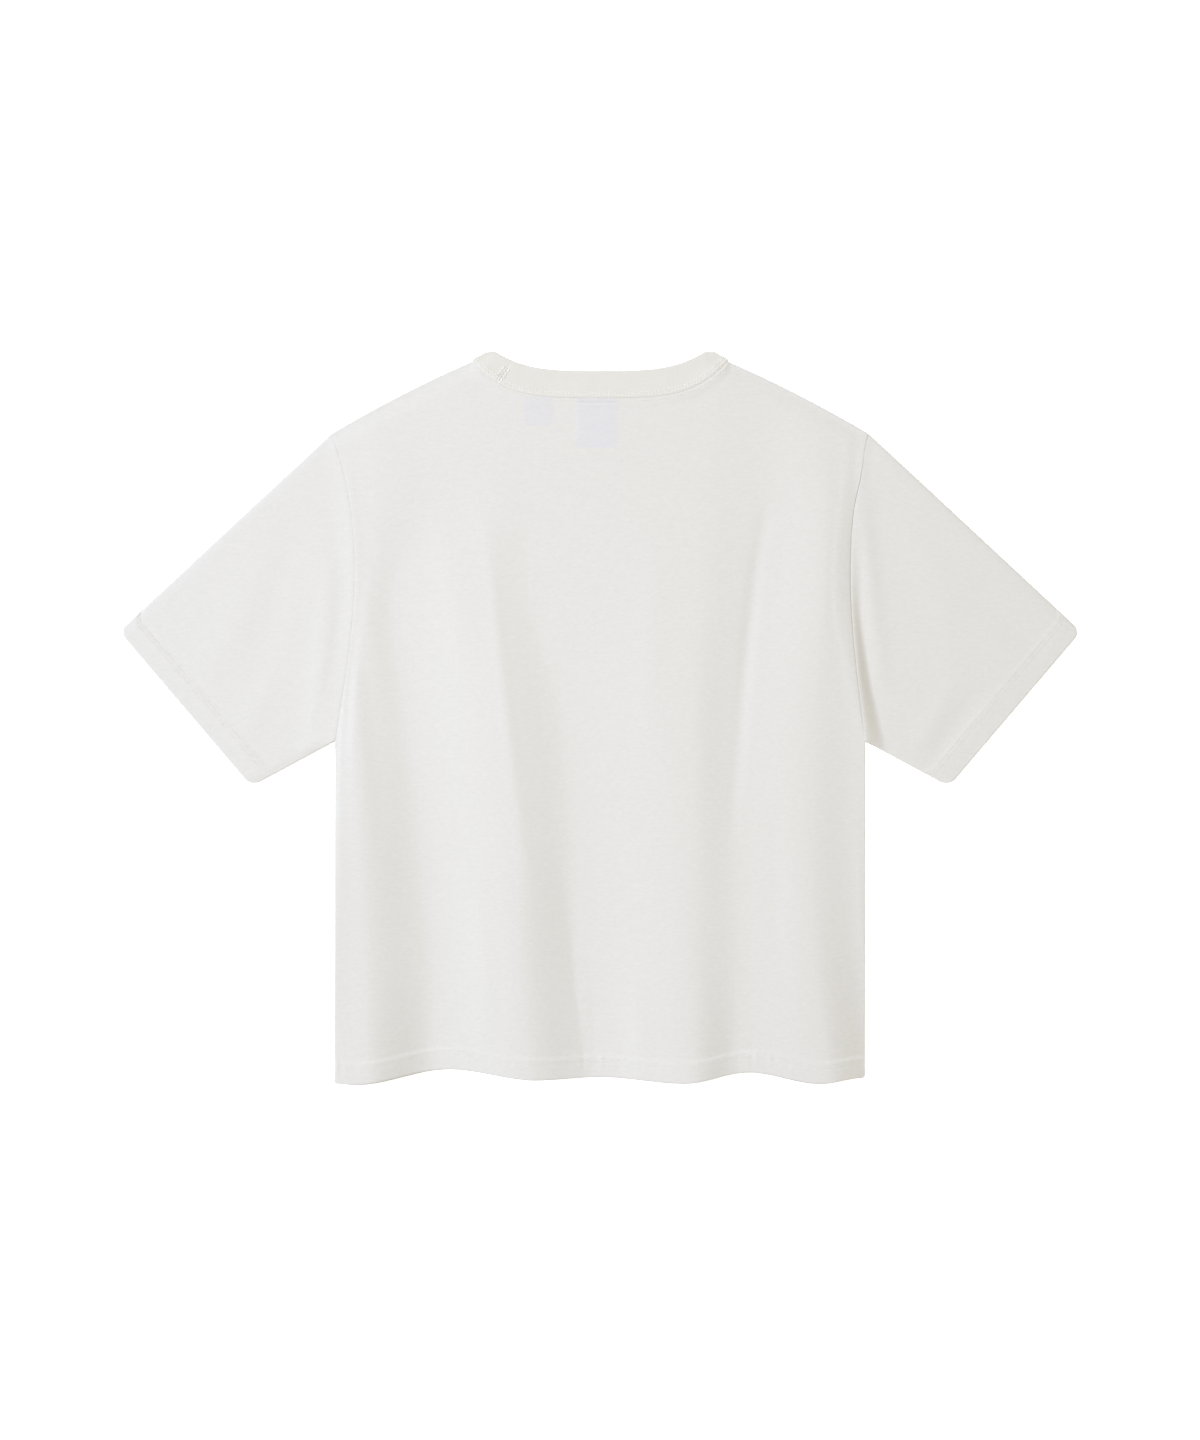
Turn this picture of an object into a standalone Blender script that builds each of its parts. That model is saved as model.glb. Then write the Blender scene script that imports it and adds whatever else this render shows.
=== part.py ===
"""A boxy crew-neck T-shirt of cotton jersey, laid flat with its back up.

+Z is up, +Y runs to the neck and +X to the right as the shirt is seen from above. The origin
is on the surface that the shirt lies on, under the middle of its box. The front lies flat on
that surface, and the back lies on the front with long soft folds that deepen towards the hem.
Sizes are in millimetres, and a mesh is made in metres.
"""
import bisect
import collections
import math

import bmesh
import bpy

MM = 0.001

# Cloth.
WALL = 1.0              # jersey, as a wall
RIB_WALL = 1.2          # the neck rib, folded double
GAP = 0.3               # between layers that touch, and across each seam

# Body.
SIDE = 238.5            # half the body's width, at the side seams
TIP_X, TIP_Y = 242.5, 256.0      # where the shoulder meets the sleeve, at the outline
UNDERARM_Y = -20.7
LEFT_BOW, RIGHT_BOW = 20.0, 15.0        # how far the armhole seams curve in as the shirt lies
RIGHT_TIP_BULGE = 2.2   # and how far out the right one runs first, a little below its tip
# Fractions of the armhole, from the tip down, where body and sleeve both have a point.
ARM_STEPS = (0.0, 0.02, 0.05, 0.09, 0.15, 0.23, 0.33, 0.44, 0.56, 0.68, 0.79, 0.88, 0.94,
             0.98, 1.0)
HEM_LINE = -328.9       # the lowest line that the hem reaches
FRONT_HEM_SHORT = 1.5   # the front's hem stays this far inside the back's
SHOULDER_ROLL = 14.0    # the back comes down to the front over this width at the shoulder
SIDE_ROLL = 0.25        # and over this one at the side seams
UNDERARM_EASE = 25.0    # which begins over this distance below the underarm

# Neck, back and front.
NECK_X, NECK_Y = 115.0, 321.5    # the neck point, where rib, shoulder, back and front meet
BACK_NECK_DROP = 33.2   # from the neck point down to the back's neck seam, at the middle
BACK_NECK_POWER = 4.0
FRONT_NECK_DROP = 96.0
RIM_X, RIM_Y = 97.0, 332.2       # the rib's upper edge where it folds from back to front
BACK_RIM_DROP = 19.1    # from there down to the rib's upper edge at the middle of the back
BACK_RIM_POWER = 3.5
FRONT_RIM_DROP = 80.0
RIM_CORNER = 4.8        # radius of the rib's corner at the fold
RIB_FOLD_Z = 2.1        # height of the back rib's middle where it folds
# Fractions of the neck's half width where the rib and the back both have a point.
NECK_STEPS = (0.0, 0.13, 0.26, 0.39, 0.51, 0.62, 0.72, 0.81, 0.88, 0.94, 0.975, 1.0)

# Sleeves. Both corners are given before they are rounded.
CUFF_TOP = (433.1, 78.5)
CUFF_UNDER = (314.0, -61.3)
CUFF_CORNER = 9.0
SLEEVE_REST = 1.4       # how far a sleeve's two layers lie apart
# A sleeve comes down from the armhole seam's height over this width, at these fractions of
# the armhole from the tip down: left and right sleeve.
ARM_SHARES = (0.0, 0.35, 0.55, 0.8, 1.0)
SEAM_REACH = {-1: (22.0, 22.0, 20.0, 18.0, 18.0), 1: (20.0, 14.0, 11.0, 17.0, 25.0)}
EDGE_REACH = 8.0        # and to its folded edges over this one

# Label and size tab, which hang inside the back's neck seam: middle, width and drop.
LABEL = (-3.0, 36.0, 42.0)
SIZE_TAB = (-55.0, 25.0, 22.0)
TAPE_TOP = 285.2        # the upper edge of both, just under the neck seam

# Wave of the hem, from left to right: where it turns, and how far it stands back from its
# lowest line there.
Turn = collections.namedtuple("Turn", "x rise")
HEM_TURNS = (Turn(-238.5, 1.2), Turn(-223, 0.0), Turn(-137, 12.9), Turn(-58, 3.5), Turn(1, 5.9),
             Turn(76, 0.7), Turn(136, 10.2), Turn(200, 0.3), Turn(238.5, 5.2))

# Folds of the back. Each row is a line that runs up the body, from left to right: its x, and
# the lift of the back off the front there, at each of these distances up the body.
LEVELS = (-330.0, -210.0, -100.0, 10.0, 120.0, 215.0, 290.0)
Fold = collections.namedtuple("Fold", "name x lift")
FOLDS = (
    Fold("left edge",
         (-238.5, -238.5, -238.5, -237, -226, -232, -243), (13.2, 8.6, 7.2, 2.2, 2.2, 2.0, 0.5)),
    Fold("left roll",
         (-229, -230, -233, -229, -218, -222, -230), (13.4, 8.7, 7.9, 3.3, 2.7, 2.4, 0.8)),
    Fold("crest 1",
         (-209, -213, -218, -219, -209, -200, -214), (13.4, 8.7, 8.2, 4.8, 2.8, 2.8, 1.0)),
    Fold("trough 1",
         (-149, -151, -160, -174, -184, -150, -186), (0.3, 0.4, 0.7, 0.7, 1.2, 1.9, 1.2)),
    Fold("crest 2",
         (-62, -72, -76, -88, -99, -96, -112), (7.6, 7.4, 7.2, 7.6, 5.0, 2.4, 1.6)),
    Fold("trough 2",
         (-6, -16, -23, -34, -62, -62, -60), (0.5, 0.4, 1.6, 2.9, 3.1, 2.2, 1.7)),
    Fold("crest 3",
         (86, 84, 85, 83, 88, 92, 96), (9.4, 7.1, 6.8, 7.2, 5.0, 2.2, 1.6)),
    Fold("trough 3",
         (124, 124, 121, 124, 143, 150, 150), (3.0, 4.0, 4.2, 4.2, 2.6, 1.2, 1.0)),
    Fold("crest 4",
         (206, 192, 187, 192, 202, 202, 190), (7.4, 7.8, 7.4, 7.6, 6.0, 2.9, 1.0)),
    Fold("right roll",
         (256, 236, 230, 226, 209, 218, 222), (-2.6, 3.2, 4.6, 6.2, 5.6, 2.4, 0.8)),
    Fold("right edge",
         (266, 246, 238.5, 238.5, 240, 233, 243), (-4.5, 2.4, 4.4, 5.8, 0.9, 1.2, 0.5)),
)

JERSEY = (0.80, 0.79, 0.76, 1.0)
SATIN = (0.78, 0.79, 0.84, 1.0)


# Curves.

def smooth(u):
    """0 below 0, 1 above 1, and level at both ends."""
    u = min(max(u, 0.0), 1.0)
    return u * u * (3 - 2 * u)


def mix(a, b, u):
    return a + (b - a) * u


def along(values, y):
    """The smooth curve through one value for each of LEVELS."""
    y = min(max(y, LEVELS[0]), LEVELS[-1])
    k = min(bisect.bisect_right(LEVELS, y) - 1, len(LEVELS) - 2)

    def slope(i):
        low, high = max(i - 1, 0), min(i + 1, len(LEVELS) - 1)
        return (values[high] - values[low]) / (LEVELS[high] - LEVELS[low])

    span = LEVELS[k + 1] - LEVELS[k]
    u = (y - LEVELS[k]) / span
    start, end = values[k], values[k + 1]
    bend = u * (1 - u) * span * (slope(k) * (1 - u) - slope(k + 1) * u)
    return mix(start, end, smooth(u)) + bend


def hem(x):
    """The back's lower edge: furthest down at each crest."""
    for left, right in zip(HEM_TURNS, HEM_TURNS[1:]):
        if x <= right.x or right is HEM_TURNS[-1]:
            u = (x - left.x) / (right.x - left.x)
            return HEM_LINE + mix(left.rise, right.rise, smooth(u))


def shoulder(x):
    """The shoulder's edge, which falls a little more steeply towards the sleeve."""
    run = abs(x) - NECK_X
    bow = (NECK_Y - TIP_Y) / (TIP_X - NECK_X)
    ease = 0.84
    return NECK_Y - run * bow * mix(ease, 1.0, run / (TIP_X - NECK_X))


def back_neck(x):
    return NECK_Y - BACK_NECK_DROP * (1 - (abs(x) / NECK_X) ** BACK_NECK_POWER)


def half_width(y, side):
    """The body's side: the side seam, and above the underarm the armhole seam."""
    if y <= UNDERARM_Y:
        return SIDE
    w = min((TIP_Y - y) / (TIP_Y - UNDERARM_Y), 1.0)
    bow = LEFT_BOW if side < 0 else RIGHT_BOW
    bulge = 0.0 if side < 0 else RIGHT_TIP_BULGE * math.sin(math.pi * min(w / 0.26, 1.0)) ** 2
    return mix(TIP_X, SIDE, w) - bow * math.sin(math.pi * max(w, 0.0) ** 0.8) + bulge


def rounding(reach, radius):
    """How far a corner's edge draws in, at this distance along it from the corner."""
    if reach >= radius:
        return 0.0
    return radius * (1 - math.sqrt(1 - (1 - reach / radius) ** 2))


# The lift of the back off the front.

def shoulder_distance(x, y):
    """From the straight line between the neck point and the shoulder's tip."""
    dx, dy = TIP_X - NECK_X, TIP_Y - NECK_Y
    px, py = abs(x) - NECK_X, y - NECK_Y
    u = min(max((px * dx + py * dy) / (dx * dx + dy * dy), 0.0), 1.0)
    return math.hypot(px - u * dx, py - u * dy)


def lift(x, y):
    places = [along(fold.x, y) for fold in FOLDS]
    heights = [along(fold.lift, y) for fold in FOLDS]
    k = min(max(bisect.bisect_right(places, x) - 1, 0), len(FOLDS) - 2)
    u = (x - places[k]) / (places[k + 1] - places[k])
    folds = max(mix(heights[k], heights[k + 1], smooth(u)), GAP)
    below = smooth((UNDERARM_Y - y) / UNDERARM_EASE)
    folds = mix(folds, mix(GAP, folds, smooth((SIDE - abs(x)) / SIDE_ROLL)), below)
    return mix(GAP, folds, smooth(shoulder_distance(x, y) / SHOULDER_ROLL))


def upright_wall(x, y, height):
    """The wall measured straight up, so that it keeps its thickness where it slopes."""
    step = 0.5
    across = (height(x + step, y) - height(x - step, y)) / (2 * step)
    up = (height(x, y + step) - height(x, y - step)) / (2 * step)
    return WALL * math.sqrt(1 + across * across + up * up)


# Meshes.

def new_object(name, mesh, color):
    material = bpy.data.materials.new(name)
    material.use_nodes = True
    shader = material.node_tree.nodes["Principled BSDF"]
    shader.inputs["Base Color"].default_value = color
    shader.inputs["Roughness"].default_value = 0.9
    shader.inputs["Metallic"].default_value = 0.0
    mesh.materials.append(material)
    obj = bpy.data.objects.new(name, mesh)
    bpy.context.scene.collection.objects.link(obj)
    return obj


def finish_mesh(name, work):
    bmesh.ops.recalc_face_normals(work, faces=work.faces)
    mesh = bpy.data.meshes.new(name)
    work.to_mesh(mesh)
    work.free()
    return mesh


def vertices(work, points):
    return [work.verts.new([c * MM for c in point]) for point in points]


def strip(work, low, high):
    """Quads between two rows of the same length."""
    for k in range(len(low) - 1):
        work.faces.new((low[k], low[k + 1], high[k + 1], high[k]))


def sheet_solid(name, upper, lower):
    """A closed wall between two grids of points, given row by row."""
    work = bmesh.new()
    top = [vertices(work, row) for row in upper]
    bottom = [vertices(work, row) for row in lower]
    for grid in (top, bottom):
        for k in range(len(grid) - 1):
            strip(work, grid[k], grid[k + 1])
    strip(work, top[0], bottom[0])
    strip(work, top[-1], bottom[-1])
    for side in (0, -1):
        strip(work, [row[side] for row in top], [row[side] for row in bottom])
    return finish_mesh(name, work)


def ring_solid(name, stations, closed):
    """A closed wall through loops of points. An open one has outer and inner loops."""
    work = bmesh.new()
    loops = [[vertices(work, loop) for loop in station] for station in stations]
    pairs = list(zip(loops, loops[1:]))
    if closed:
        pairs.append((loops[-1], loops[0]))
    for here, there in pairs:
        for low, high in zip(here, there):
            strip(work, low + low[:1], high + high[:1])
    if not closed:
        for outer, inner in (loops[0], loops[-1]):
            strip(work, outer + outer[:1], inner + inner[:1])
    return finish_mesh(name, work)


# Back.

def back_columns():
    """Fractions of the half width, closer together at the edges, one at each neck point."""
    neck = NECK_X / TIP_X
    inner = [neck * step for step in NECK_STEPS]
    outer = [mix(neck, 0.925, k / 7) for k in range(1, 8)]
    half = inner + outer + [0.955, 0.975, 0.99, 1.0]
    return [-u for u in reversed(half[1:])] + half


def armhole_y(step):
    return mix(TIP_Y, UNDERARM_Y, step)


def back_top(x):
    """The back's upper edge: the shoulder, and between the neck points a gap below the rib."""
    step = 0.1
    if abs(x) > NECK_X + step:
        return shoulder(x)
    slope = (back_neck(abs(x)) - back_neck(abs(x) - step)) / step
    return back_neck(x) - GAP * math.sqrt(1 + slope * slope)


def back_panel():
    """Rows run from the hem up. The hem's wave fades out below the underarm."""
    upper, lower = [], []
    underarm = (UNDERARM_Y - HEM_LINE) / (TIP_Y - HEM_LINE)
    rows = [underarm * k / 9 for k in range(9)]
    rows += [(armhole_y(step) - HEM_LINE) / (TIP_Y - HEM_LINE) for step in reversed(ARM_STEPS)]
    for v in rows:
        wave = 1 - smooth(v / underarm)
        plan = []
        for u in back_columns():
            y = mix(HEM_LINE, back_top(u * TIP_X), v) + wave * (hem(u * SIDE) - HEM_LINE)
            plan.append((u * half_width(mix(HEM_LINE, TIP_Y, v), u), y))
        lower.append([(x, y, WALL + lift(x, y)) for x, y in plan])
        upper.append([(x, y, WALL + lift(x, y) + upright_wall(x, y, lift)) for x, y in plan])
    new_object("back_panel", sheet_solid("back_panel", upper, lower), JERSEY)


# Front.

def front_outline():
    """Round the front, from the left end of the hem to the right and back over the neck."""
    inset = GAP
    last = SIDE - inset
    points = [(x, hem(x) + FRONT_HEM_SHORT) for x in (-last + 2 * last * k / 44 for k in range(45))]
    sides = []
    for side in (1, -1):
        edge = [(side * half_width(armhole_y(step), side), armhole_y(step))
                for step in reversed(ARM_STEPS[1:])]
        for k in range(7):
            x = mix(TIP_X - inset, NECK_X + inset, k / 6)
            edge.append((side * x, shoulder(x) - inset))
        sides.append(edge)
    neck = []
    for u in list(reversed(NECK_STEPS[:-1])) + [-u for u in NECK_STEPS[1:-1]]:
        turn = math.pi / 2 * u
        out = GAP * math.cos(turn)
        x = (NECK_X + GAP) * math.sin(turn)
        neck.append((x, NECK_Y - inset - FRONT_NECK_DROP * math.cos(turn) - out))
    return points + sides[0] + neck + sides[1][::-1]


def front_panel():
    work = bmesh.new()
    face = work.faces.new(vertices(work, [(x, y, 0.0) for x, y in front_outline()]))
    raised = bmesh.ops.extrude_face_region(work, geom=[face])["geom"]
    upper = [item for item in raised if isinstance(item, bmesh.types.BMVert)]
    bmesh.ops.translate(work, verts=upper, vec=(0, 0, WALL * MM))
    new_object("front_panel", finish_mesh("front_panel", work), JERSEY)


# Sleeves: a flattened tube, whose two layers lie on each other between two folded edges.

def sleeve_point(side, s, t):
    """Plan of a sleeve: s from armhole to cuff, t from the upper edge to the lower."""
    y = armhole_y(t)
    seam_x = half_width(y, side) + GAP
    cuff_x, cuff_y = (mix(a, b, t) for a, b in zip(CUFF_TOP, CUFF_UNDER))
    length = math.dist(CUFF_TOP, CUFF_UNDER)
    draw_in = rounding(min(t, 1 - t) * length, CUFF_CORNER)
    reach = math.hypot(cuff_x - seam_x, cuff_y - y)
    s = s * (1 - draw_in / reach)
    return side * mix(seam_x, cuff_x, s), mix(y, cuff_y, s)


def sleeve_lift(side, s, t):
    """The upper layer's lift off the lower one. It starts at the body's height at the seam."""
    y = armhole_y(t)
    seam = lift(side * half_width(y, side), y)
    start, here = sleeve_point(side, 0.0, t), sleeve_point(side, s, t)
    k = min(bisect.bisect_right(ARM_SHARES, t), len(ARM_SHARES) - 1)
    share = (t - ARM_SHARES[k - 1]) / (ARM_SHARES[k] - ARM_SHARES[k - 1])
    seam_reach = mix(SEAM_REACH[side][k - 1], SEAM_REACH[side][k], share)
    plain = mix(seam, SLEEVE_REST, smooth(math.dist(start, here) / seam_reach))
    width = math.dist(sleeve_point(side, s, 0.0), sleeve_point(side, s, 1.0))
    edge = min(t, 1 - t) * width
    return mix(GAP, plain, smooth(edge / EDGE_REACH))


def sleeve_ring(side, s):
    """Outer and inner loop of one section, over the upper layer and back under it."""
    width = math.dist(sleeve_point(side, s, 0.0), sleeve_point(side, s, 1.0))
    middle = WALL + GAP / 2
    outer_r, inner_r = middle, GAP / 2
    ts = [outer_r / width, *ARM_STEPS[1:-1], 1 - outer_r / width]
    slant = math.sqrt(0.5)
    upper_outer, upper_inner = [], []
    for t in ts:
        gap = sleeve_lift(side, s, t)
        upper_outer.append((t, WALL + gap + WALL))
        upper_inner.append((t, WALL + gap))
    lower_outer = [(t, 0.0) for t in reversed(ts)]
    lower_inner = [(t, WALL) for t in reversed(ts)]

    def fold(radius, at):
        """Three points round a folded edge: above, at and below its middle."""
        turn = [(outer_r - radius * slant, radius * slant), (outer_r - radius, 0.0),
                (outer_r - radius * slant, -radius * slant)]
        points = [(reach / width, middle + rise) for reach, rise in turn]
        return points if at == 1 else [(1 - t, z) for t, z in points]

    loops = []
    for radius, upper, lower in ((outer_r, upper_outer, lower_outer),
                                 (inner_r, upper_inner, lower_inner)):
        near = list(reversed(fold(radius, 1)))
        far = fold(radius, -1)
        loop = []
        for t, z in near + upper + far + lower:
            loop.append((*sleeve_point(side, s, t), z))
        loops.append(loop)
    return loops


def sleeve(name, side):
    stations = [0.0, 0.04, 0.1, 0.17, 0.25, 0.36, 0.5, 0.64, 0.78, 0.9, 1.0]
    rings = [sleeve_ring(side, s) for s in stations]
    new_object(name, ring_solid(name, rings, closed=False), JERSEY)


# Neck rib: a doubled band round the neck, folded flat at both neck points.

def rib_section(seam, rim, across, z_seam, z_rim, turn):
    """One section of the band. turn is 0 on the back, half a turn on the front."""
    half = RIB_WALL / 2
    out = (across[0] * math.sin(turn) * half, across[1] * math.sin(turn) * half)
    up = math.cos(turn) * half
    loop = []
    for (x, y), z, sign in ((seam, z_seam, 1), (rim, z_rim, 1), (rim, z_rim, -1),
                            (seam, z_seam, -1)):
        loop.append((x + sign * out[0], y + sign * out[1], z + sign * up))
    return loop


def rim_drawn_in(seam, rim, reach):
    draw_in = rounding(reach, RIM_CORNER)
    length = math.dist(seam, rim)
    return tuple(mix(a, b, draw_in / length) for a, b in zip(rim, seam))


def neck_rib():
    half = RIB_WALL / 2
    length = math.hypot(NECK_X - RIM_X, RIM_Y - NECK_Y)
    across = ((RIM_Y - NECK_Y) / length, (NECK_X - RIM_X) / length)
    turn_r = (RIB_FOLD_Z - half) / 2
    back, turned, front = [], [], []
    for u in [-u for u in reversed(NECK_STEPS[1:])] + list(NECK_STEPS):
        seam = (NECK_X * u, back_neck(NECK_X * u))
        rim = (RIM_X * u, RIM_Y - BACK_RIM_DROP * (1 - abs(u) ** BACK_RIM_POWER))
        rim = rim_drawn_in(seam, rim, RIM_X * (1 - abs(u)))
        z_seam = max(RIB_FOLD_Z, 1.5 * WALL + lift(*seam))
        z_rim = mix(RIB_FOLD_Z, z_seam, 0.3)
        back.append(rib_section(seam, rim, (0, 0), z_seam, z_rim, 0.0))
    for k in (1, 2, 3):
        turn = math.pi * k / 4
        z = half + turn_r + turn_r * math.cos(turn)
        reach = turn_r * math.sin(turn)
        seam = (NECK_X + across[0] * reach, NECK_Y + across[1] * reach)
        rim = (RIM_X + across[0] * reach, RIM_Y + across[1] * reach)
        rim = rim_drawn_in(seam, rim, 0.0)
        turned.append(rib_section(seam, rim, across, z, z, turn))
    for u in list(reversed(NECK_STEPS)) + [-u for u in NECK_STEPS[1:]]:
        turn = math.pi / 2 * u
        seam = (NECK_X * math.sin(turn), NECK_Y - FRONT_NECK_DROP * math.cos(turn))
        rim = (RIM_X * math.sin(turn), RIM_Y - FRONT_RIM_DROP * math.cos(turn))
        rim = rim_drawn_in(seam, rim, FRONT_RIM_DROP * math.cos(turn))
        front.append(rib_section(seam, rim, (0, 0), half, half, math.pi))
    other = [[(-x, y, z) for x, y, z in loop] for loop in reversed(turned)]
    rings = [[loop] for loop in back + turned + front + other]
    new_object("neck_rib", ring_solid("neck_rib", rings, closed=True), JERSEY)


# Label and size tab: made from the back's own underside, one gap below it.

def hanging_tape(name, middle, width, drop):
    upper, lower = [], []
    for j in range(4):
        y = TAPE_TOP - drop * j / 3
        row = [(middle + width * (k / 4 - 0.5), y) for k in range(5)]
        upper.append([(x, y, WALL + lift(x, y) - GAP) for x, y in row])
        lower.append([(x, y, lift(x, y) - GAP) for x, y in row])
    new_object(name, sheet_solid(name, upper, lower), SATIN)


for old in list(bpy.data.objects):
    bpy.data.objects.remove(old, do_unlink=True)

back_panel()
front_panel()
sleeve("sleeve_left", -1)
sleeve("sleeve_right", 1)
neck_rib()
hanging_tape("label", *LABEL)
hanging_tape("size_tab", *SIZE_TAB)
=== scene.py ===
import collections
import math

import bmesh
import bpy
import numpy as np
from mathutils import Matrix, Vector


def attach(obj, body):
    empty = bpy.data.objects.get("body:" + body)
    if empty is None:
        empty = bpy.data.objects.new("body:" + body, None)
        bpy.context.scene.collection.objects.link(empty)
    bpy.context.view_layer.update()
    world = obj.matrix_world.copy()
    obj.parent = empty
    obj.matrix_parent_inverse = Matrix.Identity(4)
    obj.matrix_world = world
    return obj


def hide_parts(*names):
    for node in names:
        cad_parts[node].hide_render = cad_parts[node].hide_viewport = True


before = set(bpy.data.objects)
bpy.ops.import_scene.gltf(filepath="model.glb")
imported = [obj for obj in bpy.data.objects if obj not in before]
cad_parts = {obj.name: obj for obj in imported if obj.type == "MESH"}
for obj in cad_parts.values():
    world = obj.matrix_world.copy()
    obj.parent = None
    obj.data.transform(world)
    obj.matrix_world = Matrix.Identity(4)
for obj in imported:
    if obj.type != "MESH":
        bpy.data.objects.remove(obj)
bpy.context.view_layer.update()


# Back ------------------------------------------------------------------------------------
# One piece of cotton single jersey, cut boxy and sewn to the front at the shoulders and
# sides. It lies on the front with air under it, so it falls in long soft folds that deepen
# towards the hem. The hem is turned up once and sewn with two needles.
MM = 0.001
CLOTH = 0.8             # jersey, with its loft
GAP = 0.3               # air between two layers that touch
FRONT_TOP = 1.0         # height at which the back lies on the front
SIDE = 238.5            # half the body's width
TIP_X, TIP_Y = 242.5, 256.0         # shoulder tip, where the armhole seam starts
UNDERARM_Y = -20.7
LEFT_BOW, RIGHT_BOW = 20.0, 15.0    # how far each armhole seam bows in
RIGHT_TIP_BULGE = 2.2   # and how far the right one bulges just below the tip
HEM_LINE = -328.9       # the hem's lowest line
HEM_DEPTH = 19.2        # the hem's turned-up width
HEM_CORNER = 3.2        # how far its corners are rounded
NEEDLES = (2.0, 5.5)    # the two needle rows, in from the turning's raw edge
SHOULDER_ROLL = 14.0    # the cloth comes down to the shoulder fold over this distance
SIDE_ROLL = 0.25        # and to the side fold, below the underarm, over this
UNDERARM_EASE = 25.0    # how far below the underarm the side fold has its full shape
NECK_X, NECK_Y = 115.0, 321.5       # neck point, where neck and shoulder seams meet
BACK_NECK_DROP = 33.2   # how far the back's neck seam dips
BACK_NECK_POWER = 4.0   # the higher, the longer its level middle
SEAM_LAP = 0.15         # how far two sewn edges are drawn into each other
# The label and the size tab behind the back hang from the same height.
TAPE_TOP = 285.2
LABEL_X, LABEL_WIDTH, LABEL_DROP = -3.0, 36.0, 42.0
TAB_X, TAB_WIDTH, TAB_DROP = -55.0, 25.0, 22.0

# Wave of the hem, from left to right: where it turns, and how far it stands back from its
# lowest line there.
Turn = collections.namedtuple("Turn", "x rise")
HEM_TURNS = (Turn(-238.5, 1.2), Turn(-223, 0.0), Turn(-137, 12.9), Turn(-58, 3.5), Turn(1, 5.9),
             Turn(76, 0.7), Turn(136, 10.2), Turn(200, 0.3), Turn(238.5, 5.2))

# Folds of the back, from left to right: each fold line's x, and its lift off the front, at
# these distances up the body.
LEVELS = np.array((-330.0, -210.0, -100.0, 10.0, 120.0, 215.0, 290.0))
Fold = collections.namedtuple("Fold", "name x lift")
FOLDS = (
    Fold("left edge",
         (-238.5, -238.5, -238.5, -237, -226, -232, -243), (13.2, 8.6, 7.2, 2.2, 2.2, 2.0, 0.5)),
    Fold("left roll",
         (-229, -230, -233, -229, -218, -222, -230), (13.4, 8.7, 7.9, 3.3, 2.7, 2.4, 0.8)),
    Fold("crest 1",
         (-209, -213, -218, -219, -209, -200, -214), (13.4, 8.7, 8.2, 4.8, 2.8, 2.8, 1.0)),
    Fold("trough 1",
         (-149, -151, -160, -174, -184, -150, -186), (0.3, 0.4, 0.7, 0.7, 1.2, 1.9, 1.2)),
    Fold("crest 2",
         (-62, -72, -76, -88, -99, -96, -112), (7.6, 7.4, 7.2, 7.6, 5.0, 2.4, 1.6)),
    Fold("trough 2",
         (-6, -16, -23, -34, -62, -62, -60), (0.5, 0.4, 1.6, 2.9, 3.1, 2.2, 1.7)),
    Fold("crest 3",
         (86, 84, 85, 83, 88, 92, 96), (9.4, 7.1, 6.8, 7.2, 5.0, 2.2, 1.6)),
    Fold("trough 3",
         (124, 124, 121, 124, 143, 150, 150), (3.0, 4.0, 4.2, 4.2, 2.6, 1.2, 1.0)),
    Fold("crest 4",
         (206, 192, 187, 192, 202, 202, 190), (7.4, 7.8, 7.4, 7.6, 6.0, 2.9, 1.0)),
    Fold("right roll",
         (256, 236, 230, 226, 209, 218, 222), (-2.6, 3.2, 4.6, 6.2, 5.6, 2.4, 0.8)),
    Fold("right edge",
         (266, 246, 238.5, 238.5, 240, 233, 243), (-4.5, 2.4, 4.4, 5.8, 0.9, 1.2, 0.5)),
)

# Smaller creases: the line each follows, as start, middle and end, its half width, and how
# far it rises or, where it is a trough, falls.
Crease = collections.namedtuple("Crease", "name line width rise")
BACK_CREASES = (
    Crease("ridge of crest 2", ((-104, 190), (-86, 20), (-62, -170)), 7.0, 0.55),
    Crease("bottom of trough 2", ((-40, -110), (-22, -220), (-8, -330)), 9.0, -0.5),
    Crease("bottom of trough 3", ((152, 200), (134, 80), (119, -110)), 6.5, -0.8),
    Crease("left armhole pull", ((-222, 90), (-206, 0), (-196, -120)), 9.0, -0.5),
    Crease("left armhole seam", ((-219, 100), (-228, 10), (-234, -90)), 10.0, 0.3),
    Crease("left side, turned up", ((-239, -70), (-238, -180), (-240, -320)), 7.0, 0.4),
    Crease("chest, left", ((-150, 205), (-132, 110), (-128, 20)), 12.0, 0.35),
    Crease("chest, right", ((52, 165), (44, 60), (52, -60)), 14.0, 0.35),
    Crease("hem, right of middle", ((28, -230), (36, -285), (30, -340)), 10.0, 0.5),
    Crease("waist, right", ((162, -60), (158, -150), (164, -260)), 8.0, -0.3),
    Crease("waist, left", ((-118, -120), (-106, -200), (-104, -300)), 9.0, 0.4),
)


def smooth(u):
    """0 below 0, 1 above 1, and level at both ends."""
    u = np.clip(u, 0.0, 1.0)
    return u * u * (3 - 2 * u)


def mix(a, b, u):
    """a where u is 0, b where it is 1."""
    return a + (b - a) * u


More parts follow.
